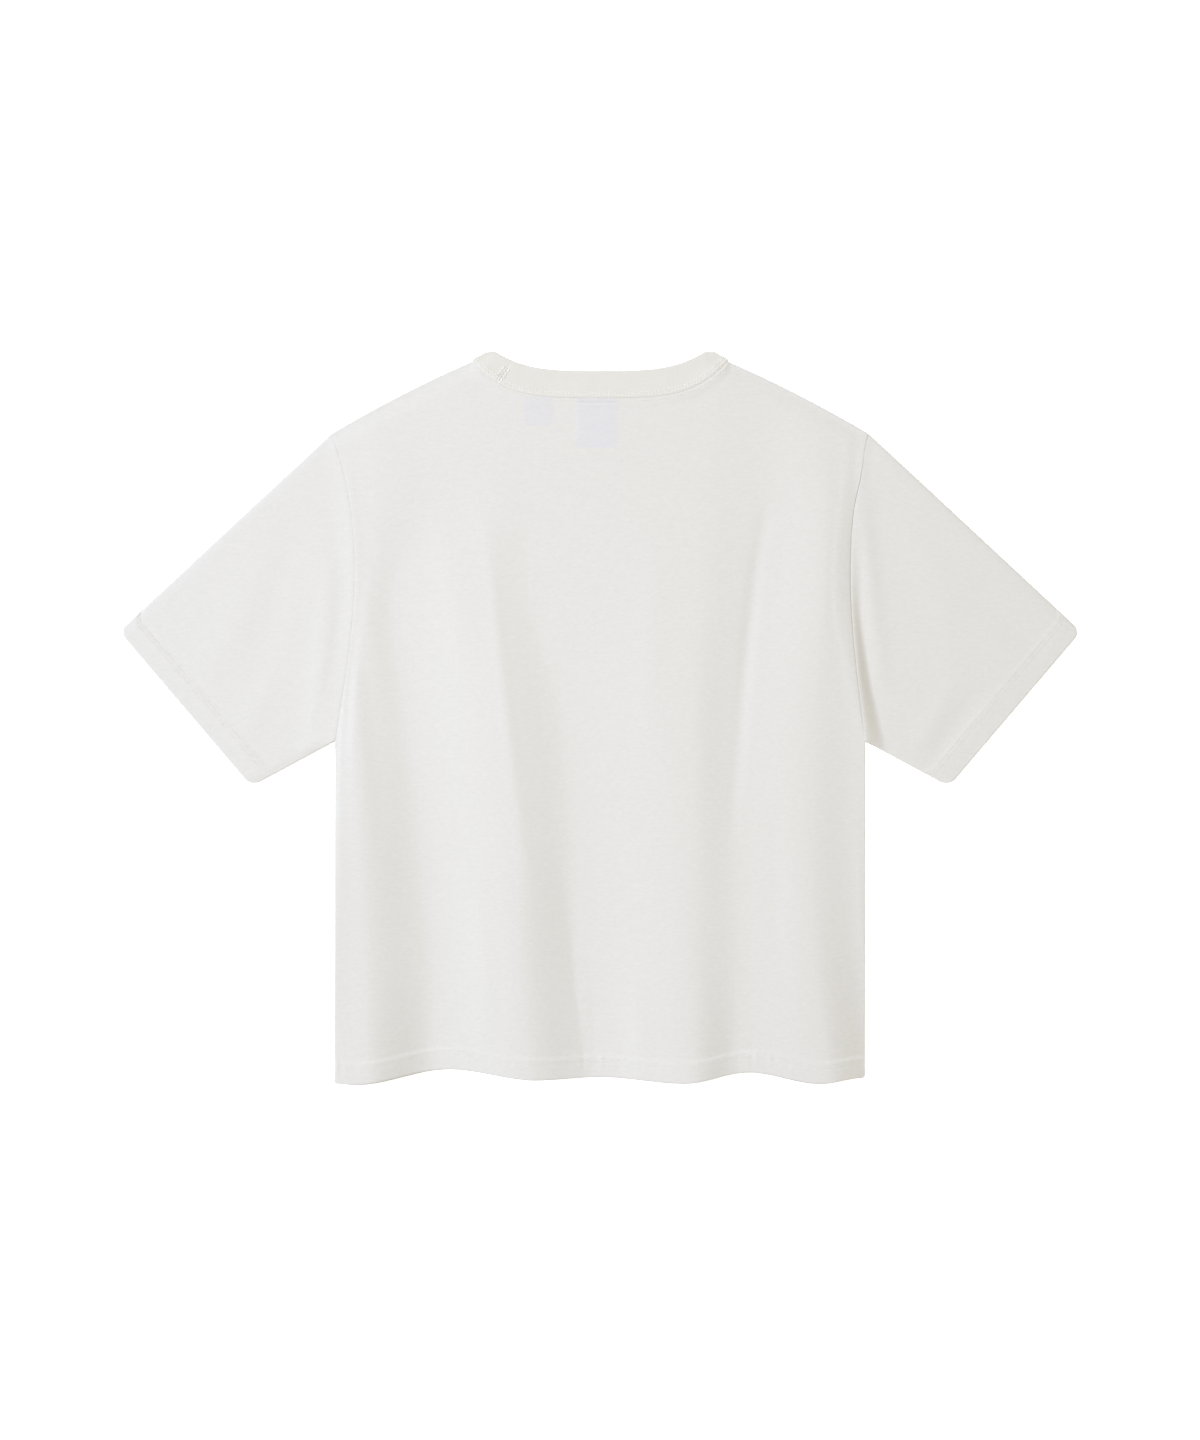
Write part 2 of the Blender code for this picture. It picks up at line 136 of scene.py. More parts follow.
def along(values, y):
    """The smooth curve through one value for each of LEVELS."""
    values = np.array(values, float)
    slopes = np.empty_like(values)
    slopes[1:-1] = (values[2:] - values[:-2]) / (LEVELS[2:] - LEVELS[:-2])
    slopes[0] = (values[1] - values[0]) / (LEVELS[1] - LEVELS[0])
    slopes[-1] = (values[-1] - values[-2]) / (LEVELS[-1] - LEVELS[-2])
    y = np.clip(y, LEVELS[0], LEVELS[-1])
    k = np.clip(np.searchsorted(LEVELS, y, side="right") - 1, 0, len(LEVELS) - 2)
    span = LEVELS[k + 1] - LEVELS[k]
    u = (y - LEVELS[k]) / span
    bend = u * (1 - u) * span * (slopes[k] * (1 - u) - slopes[k + 1] * u)
    return mix(values[k], values[k + 1], smooth(u)) + bend


def hem(x):
    """The back's lower edge: furthest down at each crest."""
    places, rises = np.array(HEM_TURNS).T
    k = np.clip(np.searchsorted(places, x, side="right") - 1, 0, len(places) - 2)
    u = (x - places[k]) / (places[k + 1] - places[k])
    return HEM_LINE + mix(rises[k], rises[k + 1], smooth(u))


def shoulder(x):
    """The shoulder fold, a little hollow between neck point and tip."""
    run = abs(x) - NECK_X
    slope = (NECK_Y - TIP_Y) / (TIP_X - NECK_X)
    return NECK_Y - run * slope * mix(0.84, 1.0, run / (TIP_X - NECK_X))


def back_neck(x):
    """The back's neck seam, nearly level in the middle."""
    return NECK_Y - BACK_NECK_DROP * (1 - (abs(x) / NECK_X) ** BACK_NECK_POWER)


def half_width(y, side):
    """The body's side: the side seam, and above the underarm the armhole seam."""
    w = np.clip((TIP_Y - y) / (TIP_Y - UNDERARM_Y), 0.0, 1.0)
    bow = np.where(np.asarray(side) < 0, LEFT_BOW, RIGHT_BOW)
    bulge = np.sin(math.pi * np.minimum(w / 0.26, 1.0)) ** 2 * RIGHT_TIP_BULGE
    bulge = np.where(np.asarray(side) < 0, 0.0, bulge)
    bowed = mix(TIP_X, SIDE, w) - bow * np.sin(math.pi * w ** 0.8) + bulge
    return np.where(y <= UNDERARM_Y, SIDE, bowed)


def back_top(x):
    """The back's upper edge: the shoulder, and between the neck points just below the rib."""
    return np.where(abs(x) > NECK_X, shoulder(x), back_neck(x) + SEAM_LAP)


def uneven(t, turn=0.0):
    """A wandering line between about -1 and 1, with swells a few units long."""
    return (np.sin(t + turn) + np.sin(0.61 * t + 2.1 * turn + 1) + np.sin(1.71 * t + 2)) / 2.4


def crease_rise(x, y, creases):
    """How far the creases lift the cloth: each is a soft ridge or trough along a bent line,
    and fades out at both ends."""
    total = np.zeros_like(x)
    for crease in creases:
        start, middle, end = (np.array(point, float) for point in crease.line)
        pull = 2 * middle - (start + end) / 2
        t = np.linspace(0, 1, 17)[:, None]
        line = (1 - t) ** 2 * start + 2 * t * (1 - t) * pull + t ** 2 * end
        low, high = line.min(0) - 3 * crease.width, line.max(0) + 3 * crease.width
        near = (x > low[0]) & (x < high[0]) & (y > low[1]) & (y < high[1])
        px, py = x[near], y[near]
        nearest = np.full(px.shape, 1e9)
        share = np.zeros(px.shape)
        for k in range(len(line) - 1):
            (ax, ay), (dx, dy) = line[k], line[k + 1] - line[k]
            u = np.clip(((px - ax) * dx + (py - ay) * dy) / (dx * dx + dy * dy), 0, 1)
            away = (px - ax - u * dx) ** 2 + (py - ay - u * dy) ** 2
            closer = away < nearest
            nearest = np.where(closer, away, nearest)
            share = np.where(closer, (k + u) / (len(line) - 1), share)
        fade = np.sin(math.pi * share) ** 0.7
        total[near] += crease.rise * np.exp(-nearest / crease.width ** 2) * fade
    return total


def back_lift(x, y):
    """How far the back lies off the front."""
    places = [along(fold.x, y) for fold in FOLDS]
    heights = [along(fold.lift, y) for fold in FOLDS]
    folds = np.where(x < places[0], heights[0], heights[-1])
    for k in range(len(FOLDS) - 1):
        u = (x - places[k]) / (places[k + 1] - places[k])
        here = mix(heights[k], heights[k + 1], smooth(u))
        folds = np.where((u >= 0) & (u < 1), here, folds)
    folds = np.maximum(folds + crease_rise(x, y, BACK_CREASES), GAP)
    at_side = mix(GAP, folds, smooth((SIDE - abs(x)) / SIDE_ROLL))
    folds = mix(folds, at_side, smooth((UNDERARM_Y - y) / UNDERARM_EASE))
    dx, dy = TIP_X - NECK_X, TIP_Y - NECK_Y
    u = np.clip(((abs(x) - NECK_X) * dx + (y - NECK_Y) * dy) / (dx * dx + dy * dy), 0, 1)
    from_shoulder = np.hypot(abs(x) - NECK_X - u * dx, y - NECK_Y - u * dy)
    return mix(GAP, folds, smooth(from_shoulder / SHOULDER_ROLL))


def rolled(reach, radius):
    """1 at a folded edge and 0 past its radius, as a quarter circle."""
    u = np.clip(reach / radius, 0.0, 1.0)
    return 1 - np.sqrt(1 - (1 - u) ** 2)


def back_edges(x, y):
    """Distances in from the hem, the side and the upper edge."""
    slope = (back_top(x + 0.25) - back_top(x - 0.25)) / 0.5
    up = y - hem(x)
    side = half_width(y, x) - HEM_CORNER * rolled(np.maximum(up, 0), HEM_CORNER)
    return up, side - abs(x), (back_top(x) - y) / np.sqrt(1 + slope ** 2)


def needle_rows(reach, depth):
    """1 in the two needle rows of a turning this deep, and 0 a millimetre or two from them."""
    return sum(np.exp(-((reach - (depth - needle)) / 0.8) ** 2) for needle in NEEDLES)


def back_relief(x, y):
    """What the sewing adds to the outer face: the doubled hem, its needle rows and puckers,
    the seam allowances of armhole and neck, and the label behind it."""
    up, in_side, in_top = back_edges(x, y)
    doubled = smooth((HEM_DEPTH + 1.6 - up) / 3.2)
    needles = needle_rows(up, HEM_DEPTH)
    pucker = uneven(x / 1.05) * (0.5 + 0.5 * uneven(x / 21, 1.0))
    pull = np.exp(-((up - HEM_DEPTH + 4) / 7.0) ** 2)
    armhole = smooth((9.0 - in_side) / 6.0) * (y > UNDERARM_Y) * smooth((y - UNDERARM_Y) / 20)
    neck = smooth((8.0 - in_top) / 4.0) * (abs(x) < NECK_X)
    neck *= mix(1.0, 2.2, smooth((x - 30) / 60))
    label = smooth((LABEL_WIDTH / 2 + 0.5 - abs(x - LABEL_X)) / 1.5)
    label *= smooth((y - (TAPE_TOP - LABEL_DROP) + 0.7) / 1.5)
    return (doubled - 0.22 * needles + 0.28 * pucker * pull + 0.15 * armhole + 0.3 * neck
            + 0.1 * label)


def back_outer(x, y):
    """Height of the back's outer face, rolled off at its edges."""
    up, in_side, in_top = back_edges(x, y)
    sewn = mix(0.15, 0.85, x > 0) * smooth((y - UNDERARM_Y) / 20)
    sewn = mix(mix(0.3, 0.15, x > 0), sewn, y > UNDERARM_Y)
    at_top = mix(0.3, 0.5, abs(x) > NECK_X)
    edge = np.maximum.reduce([rolled(up, 1.8) * 0.9, rolled(in_side, 1.4) * sewn,
                              rolled(in_top, 1.3) * at_top])
    return FRONT_TOP + back_lift(x, y) + CLOTH + back_relief(x, y) - edge


def spread(start, end, step):
    """Even steps of about this size, without the first point."""
    count = max(int(round(abs(end - start) / step)), 1)
    return [start + (end - start) * (k + 1) / count for k in range(count)]


EDGE_ROWS = [0.0, 0.2, 0.5, 0.9, 1.5, 2.3, 3.4, 4.7, 6.0]    # mm in from an edge


def to_edge(end):
    """The same rows, up to an edge at the far end."""
    return [end - row for row in reversed(EDGE_ROWS[:-1])]


def back_grid():
    """Points across the back: rows from the hem up, columns from left to right."""
    height, below = TIP_Y - HEM_LINE, UNDERARM_Y - HEM_LINE
    rows = EDGE_ROWS + spread(6, 30, 1.2) + spread(30, below, 3.2)
    rows += spread(below, height - 6, 3.2) + to_edge(height)
    neck = NECK_X / TIP_X
    half = spread(0, NECK_X, 2.1) + spread(NECK_X, TIP_X - 6, 2.1) + to_edge(TIP_X)
    half = np.array(half) / TIP_X
    half[np.argmin(abs(half - neck))] = neck
    columns = np.concatenate([-half[::-1], [0.0], half])
    v = np.array(rows)[:, None] / height
    u = columns[None, :]
    corner = HEM_CORNER * rolled(v * height, HEM_CORNER)
    x = u * (half_width(mix(HEM_LINE, TIP_Y, v), u) - corner)
    wave = 1 - smooth(v * height / below)
    y = mix(HEM_LINE, back_top(u * TIP_X), v) + wave * (hem(u * SIDE) - HEM_LINE)
    return x, y


def cloth_shell(outer, inner):
    """Points and faces of a thin closed sheet between two grids of points with odd numbers
    of rows and columns. The inner face takes every second point, and both share the edge."""
    rows, columns = outer.shape[:2]
    top = np.arange(rows * columns).reshape(rows, columns)
    faces = np.stack([top[:-1, :-1], top[:-1, 1:], top[1:, 1:], top[1:, :-1]], -1)
    faces = faces.reshape(-1, 4).tolist()
    under = top[::2, ::2].copy()
    inside = inner[2:-1:2, 2:-1:2]
    under[1:-1, 1:-1] = rows * columns + np.arange(inside.size // 3).reshape(inside.shape[:2])
    for i in range(under.shape[0] - 1):
        for j in range(under.shape[1] - 1):
            loop = [under[i, j]]
            if j == 0:
                loop.append(top[2 * i + 1, 0])
            loop.append(under[i + 1, j])
            if i == under.shape[0] - 2:
                loop.append(top[-1, 2 * j + 1])
            loop.append(under[i + 1, j + 1])
            if j == under.shape[1] - 2:
                loop.append(top[2 * i + 1, -1])
            loop.append(under[i, j + 1])
            if i == 0:
                loop.append(top[0, 2 * j + 1])
            faces.append([int(k) for k in loop])
    return np.concatenate([outer.reshape(-1, 3), inside.reshape(-1, 3)]), faces


def sewn_piece(name, points, faces, material):
    """A smooth mesh object from points in millimetres, with its faces turned outwards."""
    mesh = bpy.data.meshes.new(name)
    mesh.from_pydata((np.asarray(points) * MM).tolist(), [], faces)
    work = bmesh.new()
    work.from_mesh(mesh)
    bmesh.ops.recalc_face_normals(work, faces=work.faces)
    if work.calc_volume(signed=True) < 0:
        bmesh.ops.reverse_faces(work, faces=work.faces)
    for face in work.faces:
        face.smooth = True
    work.to_mesh(mesh)
    work.free()
    mesh.materials.append(material)
    obj = bpy.data.objects.new(name, mesh)
    bpy.context.scene.collection.objects.link(obj)
    return obj


def linear(hex_color):
    """Linear RGBA from an sRGB hex value."""
    parts = [int(hex_color[k:k + 2], 16) / 255 for k in (1, 3, 5)]
    return [c / 12.92 if c <= 0.04045 else ((c + 0.055) / 1.055) ** 2.4 for c in parts] + [1.0]


def node(tree, kind, settings, links):
    """Adds a node with its settings, on itself or on its sockets, and links its inputs."""
    made = tree.nodes.new(kind)
    for key, value in settings.items():
        if isinstance(key, str) and hasattr(made, key):
            setattr(made, key, value)
        else:
            made.inputs[key].default_value = value
    for key, source in links.items():
        tree.links.new(source, made.inputs[key])
    return made


def new_material(name, settings):
    """A material with these settings on its shader, the tree of its nodes, and the shader."""
    material = bpy.data.materials.new(name)
    material.use_nodes = True
    shader = material.node_tree.nodes["Principled BSDF"]
    for socket, value in settings.items():
        shader.inputs[socket].default_value = value
    return material, material.node_tree, shader


BLUR = 0.7              # half the width over which an edge behind the cloth fades


def jersey(name, color, tint_boxes=()):
    """Cotton single jersey from slub yarn: knitted, washed and pressed flat. The yarn is thick
    and thin, so faint streaks run across the body, and the face is matt with a soft nap. What
    lies right behind the cloth comes through it as a box with a tint, and thin boxes along the
    groove of the label's stitches add painted shade and a painted highlight."""
    material, tree, shader = new_material(name, {
        "Roughness": 0.92, "Specular IOR Level": 0.22, "Sheen Weight": 0.12,
        "Sheen Roughness": 0.6})
    place = node(tree, "ShaderNodeTexCoord", {}, {}).outputs["Object"]
    # Slubs are about 6 mm long and two or three courses high.
    across = node(tree, "ShaderNodeMapping", {"Scale": (170, 430, 120)}, {"Vector": place})
    slub = node(tree, "ShaderNodeTexNoise", {"Scale": 1.0, "Detail": 1.5, "Roughness": 0.5},
                {"Vector": across.outputs["Vector"]}).outputs["Fac"]
    # Loops pull the yarn into a finer grain, 3 by 2.5 mm.
    loops = node(tree, "ShaderNodeMapping", {"Scale": (330, 430, 300)}, {"Vector": place})
    grain = node(tree, "ShaderNodeTexNoise", {"Scale": 1.0, "Detail": 1.0, "Roughness": 0.5},
                 {"Vector": loops.outputs["Vector"]}).outputs["Fac"]
    streak = node(tree, "ShaderNodeMix", {"Factor": 0.5}, {"A": slub, "B": grain}).outputs[0]
    tone = node(tree, "ShaderNodeMapRange", {"From Min": 0.22, "From Max": 0.78}, {"Value": streak})
    result = node(tree, "ShaderNodeMix", {"data_type": "RGBA", 6: linear(color[1]),
                                          7: linear(color[0])},
                  {"Factor": tone.outputs["Result"]}).outputs[2]
    # Each box multiplies the colour by its tint: labels and tab showing through, and thin strips of
    # painted shade and painted highlight along the label's stitch groove.
    for _, left, right, low, high, tint in tint_boxes:
        apart = node(tree, "ShaderNodeSeparateXYZ", {}, {"Vector": place})
        inside = None       # 1 in the box, 0 outside it, and between them across its edges
        for axis, start, end in (("X", left - BLUR, left + BLUR), ("X", right + BLUR, right - BLUR),
                                 ("Y", low - BLUR, low + BLUR), ("Y", high + BLUR, high - BLUR)):
            edge = node(tree, "ShaderNodeMapRange",
                        {"From Min": start * MM, "From Max": end * MM},
                        {"Value": apart.outputs[axis]}).outputs["Result"]
            inside = edge if inside is None else node(
                tree, "ShaderNodeMath", {"operation": "MULTIPLY"}, {0: inside, 1: edge}).outputs[0]
        result = node(tree, "ShaderNodeMix",
                      {"data_type": "RGBA", "blend_type": "MULTIPLY", 7: (*tint, 1.0)},
                      {"Factor": inside, 6: result}).outputs[2]
    tree.links.new(result, shader.inputs["Base Color"])
    # Wales of the knit stand 0.8 mm apart, too fine for a view of the whole shirt.
    wales = node(tree, "ShaderNodeTexWave", {"bands_direction": "X", "Scale": 62.8,
                                             "Distortion": 1.2, "Detail": 1.0,
                                             "Detail Scale": 2.0}, {"Vector": place})
    height = node(tree, "ShaderNodeMath", {"operation": "MULTIPLY_ADD", 1: 0.18},
                  {0: wales.outputs["Fac"], 2: streak}).outputs[0]
    bump = node(tree, "ShaderNodeBump", {"Strength": 0.35, "Distance": 0.00012},
                {"Height": height})
    tree.links.new(bump.outputs["Normal"], shader.inputs["Normal"])
    return material


JERSEY_COLORS = ("#E6E5E5", "#DFDEDE")          # thick and thin yarn
# The bright white label and tab behind the back cool its colour. The label's cut edges show
# as thin lines. The groove of the row that holds it is painted: a thin line of painted shade,
# and just below it a thin line of painted highlight.
TintBox = collections.namedtuple("TintBox", "name left right low high tint")
LABEL_LEFT, LABEL_RIGHT = LABEL_X - LABEL_WIDTH / 2, LABEL_X + LABEL_WIDTH / 2
LABEL_LOW, TAB_LOW = TAPE_TOP - LABEL_DROP + 0.3, TAPE_TOP - TAB_DROP + 0.3
BEHIND_TOP = 290.0      # above the neck seam, so that what is behind reaches it
BACK_TINT_BOXES = (
    TintBox("label", LABEL_LEFT, LABEL_RIGHT, LABEL_LOW, BEHIND_TOP, (0.968, 0.97, 1.03)),
    TintBox("label's left edge", LABEL_LEFT, LABEL_LEFT + 1.6, LABEL_LOW, BEHIND_TOP,
           (1.02, 1.02, 1.01)),
    TintBox("label's right edge", LABEL_RIGHT - 1.6, LABEL_RIGHT, LABEL_LOW, BEHIND_TOP,
           (1.02, 1.02, 1.01)),
    # Painted shade along the groove of the label's stitch row, and a painted highlight just below
    # it.
    TintBox("painted shade in the label's stitch groove", LABEL_LEFT, LABEL_RIGHT, 284.6, 285.8,
           (0.945, 0.95, 0.955)),
    TintBox("painted highlight below the label's stitch groove", LABEL_LEFT, LABEL_RIGHT, 282.4, 283.4,
           (1.045, 1.045, 1.03)),
    TintBox("size tab", TAB_X - TAB_WIDTH / 2, TAB_X + TAB_WIDTH / 2, TAB_LOW, BEHIND_TOP,
           (0.975, 0.972, 1.01)),
)
body_jersey = jersey("washed_slub_jersey", JERSEY_COLORS)
back_jersey = jersey("washed_slub_jersey_over_labels", JERSEY_COLORS, BACK_TINT_BOXES)

x, y = back_grid()
back_face = np.stack([x, y, back_outer(x, y)], -1)
back_under = np.stack([x, y, FRONT_TOP + back_lift(x, y)], -1)
back = sewn_piece("back", *cloth_shell(back_face, back_under), back_jersey)
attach(back, "root")
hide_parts("back_panel")


# Front -----------------------------------------------------------------------------------
# The other half of the body, from the same jersey, with the deeper neckline. It lies flat on
# the surface underneath, and its hem is turned up and sewn like the back's.
FRONT_HEM_SHORT = 1.5   # how far the front's hem stands back from the back's
FRONT_NECK_DROP = 96.0
FRONT_INSET = 0.3       # how far its sides and shoulders stand in
FRONT_INNER = 0.85      # height of its inner face

FRONT_CREASES = (
    Crease("left of middle", ((-120, 40), (-96, -120), (-70, -300)), 10.0, 0.3),
    Crease("middle", ((-20, 60), (14, -90), (20, -250)), 12.0, 0.25),
    Crease("right of middle", ((96, 80), (118, -60), (128, -310)), 9.0, 0.3),
    Crease("left side", ((-190, -60), (-176, -170), (-182, -300)), 8.0, 0.25),
    Crease("left chest", ((-205, 120), (-150, 60), (-90, 30)), 11.0, 0.25),
    Crease("right chest", ((200, 150), (160, 90), (100, 70)), 10.0, 0.25),
)


def front_neck(x):
    """The front's neck seam, a half ellipse."""
    u = np.clip(abs(x) / (NECK_X + GAP), 0, 1)
    return NECK_Y - FRONT_NECK_DROP * np.sqrt(1 - u ** 2) - GAP


def front_grid():
    """Points across the front, and each one's distances in from the hem, side and top."""
    height, below = TIP_Y - HEM_LINE, UNDERARM_Y - HEM_LINE
    rows = EDGE_ROWS + spread(6, 28, 1.6) + spread(28, below, 5.0)
    rows += spread(below, height - 6, 5.0) + to_edge(height)
    if len(rows) % 2 == 0:
        rows = rows[:-1] + [rows[-1] - 0.1, rows[-1]]
    # Columns close up towards the neck point, where the neck seam turns upright.
    bend = [NECK_X * math.sin(math.pi / 2 * k / 44) for k in range(1, 38)] + [NECK_X]
    half = np.array(bend + spread(NECK_X, TIP_X - 6, 3.5) + to_edge(TIP_X)) / TIP_X
    u = np.concatenate([-half[::-1], [0.0], half])[None, :]
    v = np.array(rows)[:, None] / height
    x = u * (half_width(mix(HEM_LINE, TIP_Y, v), u) - FRONT_INSET)
    top = np.where(abs(u) * TIP_X > NECK_X + 0.01, shoulder(u * TIP_X) - FRONT_INSET,
                   front_neck(u * TIP_X))
    low = hem(u * SIDE) + FRONT_HEM_SHORT
    wave = 1 - smooth(v * height / below)
    y = mix(HEM_LINE, top, v) + wave * (low - HEM_LINE)
    return x, y, y - low, (1 - abs(u)) * SIDE + 0 * v, top - y


x, y, up, in_side, in_top = front_grid()
edge = np.maximum.reduce([rolled(up, 1.6), rolled(in_side, 1.2), rolled(in_top, 1.0)])
pull = np.exp(-((up - HEM_DEPTH + 4) / 6) ** 2)
sewn = 0.16 * needle_rows(up, HEM_DEPTH) + 0.1 * (1 + uneven(x / 1.35)) * pull
crumple = 0.12 * (1 + uneven(x / 19 + y / 31, 0.4)) * smooth((in_side - 4) / 20)
crumple += crease_rise(x, y, FRONT_CREASES)
front_low = np.stack([x, y, 0.4 * edge + (sewn + crumple) * (1 - edge)], -1)
front_high = np.stack([x, y, np.full_like(x, FRONT_INNER)], -1)
front = sewn_piece("front", *cloth_shell(front_low, front_high), body_jersey)
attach(front, "root")
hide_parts("front_panel")


# Sleeves ---------------------------------------------------------------------------------
# Short set-in sleeves, each one piece of the jersey sewn to a tube at the underarm. They lie
# flattened, with the fold of the shoulder above and the underarm seam below. The armhole
# seams are overlocked inside, and the cuffs are turned up and sewn with two needles.
CUFF_TOP, CUFF_UNDER = (433.1, 78.5), (314.0, -61.3)     # the cuff's upper and lower corner
CUFF_CORNER = 9.0       # how far these are rounded
CUFF_DEPTH = 23.0       # the cuff's turned-up width
SLEEVE_REST = 1.4       # how far the upper layer lies above FRONT_TOP, away from the seam
EDGE_REACH = 8.0        # it comes down to its folded edges over this distance
UNDERARM_HELD = 24.0    # the side seam holds the sleeve's lower edge up over this distance
# How far from the armhole a sleeve comes down from the seam's height, at these fractions of
# the armhole from the tip down: left and right sleeve.
ARM_SHARES = (0.0, 0.35, 0.55, 0.8, 1.0)
SEAM_REACH = {-1: (22.0, 22.0, 20.0, 25.0, 30.0), 1: (20.0, 14.0, 11.0, 17.0, 25.0)}
CUFF_ZONE = 28.0        # the cuff's end, where the rows follow its edge
CUFF_PULL = 2.4         # half width of the groove along the left cuff's inner needle row

LEFT_SLEEVE_CREASES = (
    Crease("underarm pull", ((-243, 150), (-252, 20), (-271, -120)), 12.0, 1.3),
    Crease("from the shoulder", ((-262, 190), (-292, 110), (-312, 20)), 14.0, -0.45),
    Crease("towards the cuff", ((-300, 150), (-338, 70), (-362, 20)), 16.0, 0.5),
    Crease("above the cuff", ((-288, 60), (-312, 0), (-326, -30)), 12.0, 0.4),
)
RIGHT_SLEEVE_CREASES = (
    Crease("ridge along the armhole", ((229, 252), (240, 146), (256, 20)), 9.0, 1.05),
    Crease("underarm to cuff", ((352, 38), (320, -6), (290, -46)), 8.5, -0.45),
    Crease("left of it", ((322, 44), (302, 2), (280, -34)), 9.0, 0.4),
    Crease("from the shoulder", ((268, 190), (304, 120), (322, 40)), 15.0, 0.4),
    Crease("under the upper edge", ((330, 130), (372, 84), (404, 60)), 13.0, -0.35),
)


def sleeve_grid(side, t, creases, lower=False):
    """Points of one layer: rows from the armhole to the cuff, columns for each t from the
    shoulder fold to the underarm."""
    seam_y = mix(TIP_Y, UNDERARM_Y, t)
    seam_x = half_width(seam_y, side) - SEAM_LAP
    cuff_x = mix(CUFF_TOP[0], CUFF_UNDER[0], t)
    cuff_y = mix(CUFF_TOP[1], CUFF_UNDER[1], t)
    corner = np.minimum(t, 1 - t) * math.dist(CUFF_TOP, CUFF_UNDER)
    reach = np.hypot(cuff_x - seam_x, cuff_y - seam_y)
    length = reach - CUFF_CORNER * rolled(corner, CUFF_CORNER)
    shares = [0, 0.0015, 0.004, 0.008, 0.014, 0.022, 0.034] + spread(0.034, 1, 0.0135)
    from_cuff = spread(CUFF_ZONE, 6, 1.05) + EDGE_ROWS[-2::-1]
    if (len(shares) + len(from_cuff)) % 2 == 0:
        shares = shares[:-1] + [mix(shares[-2], 1, 0.5), 1]
    along_it = [share * (length - CUFF_ZONE) for share in shares]
    along_it += [length - row for row in from_cuff]
    run = np.array(along_it)
    s = run / reach
    x, y = side * mix(seam_x, cuff_x, s), mix(seam_y, cuff_y, s)
    from_edge = np.minimum(t, 1 - t) * mix(TIP_Y - UNDERARM_Y, corner.max() * 2, run / length)
    seam_lift = back_lift(side * half_width(seam_y, side), seam_y)
    plain = mix(seam_lift, SLEEVE_REST, smooth(run / np.interp(t, ARM_SHARES, SEAM_REACH[side])))
    plain = np.maximum(plain + crease_rise(x, y, creases), GAP)
    # The shoulder fold keeps most of its height, and the side seam holds the other edge up.
    at_edge = mix(plain, GAP, np.where(t < 0.5, 0.35, 0.6 * smooth(run / UNDERARM_HELD)))
    lift = mix(at_edge, plain, smooth(from_edge / EDGE_REACH))
    in_cuff = length - run
    needles = needle_rows(in_cuff, CUFF_DEPTH)
    pull = np.exp(-((in_cuff - CUFF_DEPTH + 4) / 6) ** 2)
    # The left cuff is sewn tighter, so its turning and rows stand out more.
    doubled, pierced = (0.5, 0.24) if side < 0 else (0.24, 0.07)
    sewn = doubled * smooth((CUFF_DEPTH + 1.4 - in_cuff) / 2.8) - pierced * needles
    if side < 0:
        groove = np.exp(-((in_cuff - CUFF_DEPTH + 1.5) / CUFF_PULL) ** 2)
        sewn -= groove * mix(0.15, 0.6, (1 - t) ** 2)
    sewn += 0.14 * uneven(t * 150, side) * pull + 0.15 * smooth((8.0 - run) / 6)
    end = np.maximum(rolled(in_cuff, 1.6), rolled(run, 1.4) * (0.35 if side < 0 else 0.12))
    if lower:
        outer = 0.14 * needles + 0.08 * (1 + uneven(t * 150)) * pull
        inner = np.full_like(x, CLOTH)
    else:
        outer = FRONT_TOP + lift + CLOTH + sewn
        inner = FRONT_TOP + lift
    middle = (outer + inner) / 2
    return (np.stack([x, y, mix(outer, middle, end)], -1),
            np.stack([x, y, mix(inner, middle, end)], -1))


def sleeve_tube(side, creases):
    """The flattened tube: upper layer, underarm edge, lower layer and shoulder fold."""
    t = np.array([0.003] + spread(0.003, 0.998, 0.0095))
    upper_layer = sleeve_grid(side, t, creases)
    lower_layer = sleeve_grid(side, t[::-1], creases, lower=True)

    def fold(t_edge, upper, lower, bulge):
        """Points round a folded edge, from one layer to the other."""
        edge = sleeve_grid(side, np.array([t_edge]), creases)[0][:, 0]
        columns = []
        for k in range(1, 6):
            turn = math.pi * k / 6
            share = (1 - math.cos(turn)) / 2
            point = mix(upper, lower, share)
            point[:, :2] = mix(point[:, :2], edge[:, :2], math.sin(turn) * bulge)
            columns.append(point)
        return np.stack(columns, 1)

    # The outer faces of both layers, then the inner ones.
    return [np.concatenate([upper, fold(1.0, upper[:, -1], lower[:, 0], bulge),
                            lower, fold(0.0, lower[:, -1], upper[:, 0], bulge)], 1)
            for upper, lower, bulge in zip(upper_layer, lower_layer, (1.0, 0.6))]


def tube_shell(outer, inner):
    """A closed wall between two loops of columns. Both share the rows at the ends."""
    rows, columns = outer.shape[:2]
    index = np.arange(rows * columns).reshape(rows, columns)
    inside = inner[1:-1]
    under = index.copy()
    under[1:-1] = rows * columns + np.arange(inside.size // 3).reshape(inside.shape[:2])
    faces = []
    for grid in (index, under[:, ::-1]):
        turned = np.roll(grid, -1, 1)
        quads = np.stack([grid[:-1], turned[:-1], turned[1:], grid[1:]], -1)
        faces += quads.reshape(-1, 4).tolist()
    return np.concatenate([outer.reshape(-1, 3), inside.reshape(-1, 3)]), faces


cuffs = {}
for name, node_name, side, creases in (
        ("left_sleeve", "sleeve_left", -1, LEFT_SLEEVE_CREASES),
        ("right_sleeve", "sleeve_right", 1, RIGHT_SLEEVE_CREASES)):
    cuffs[side], lining = sleeve_tube(side, creases)
    sleeve = sewn_piece(name, *tube_shell(cuffs[side], lining), body_jersey)
    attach(sleeve, "root")
    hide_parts(node_name)


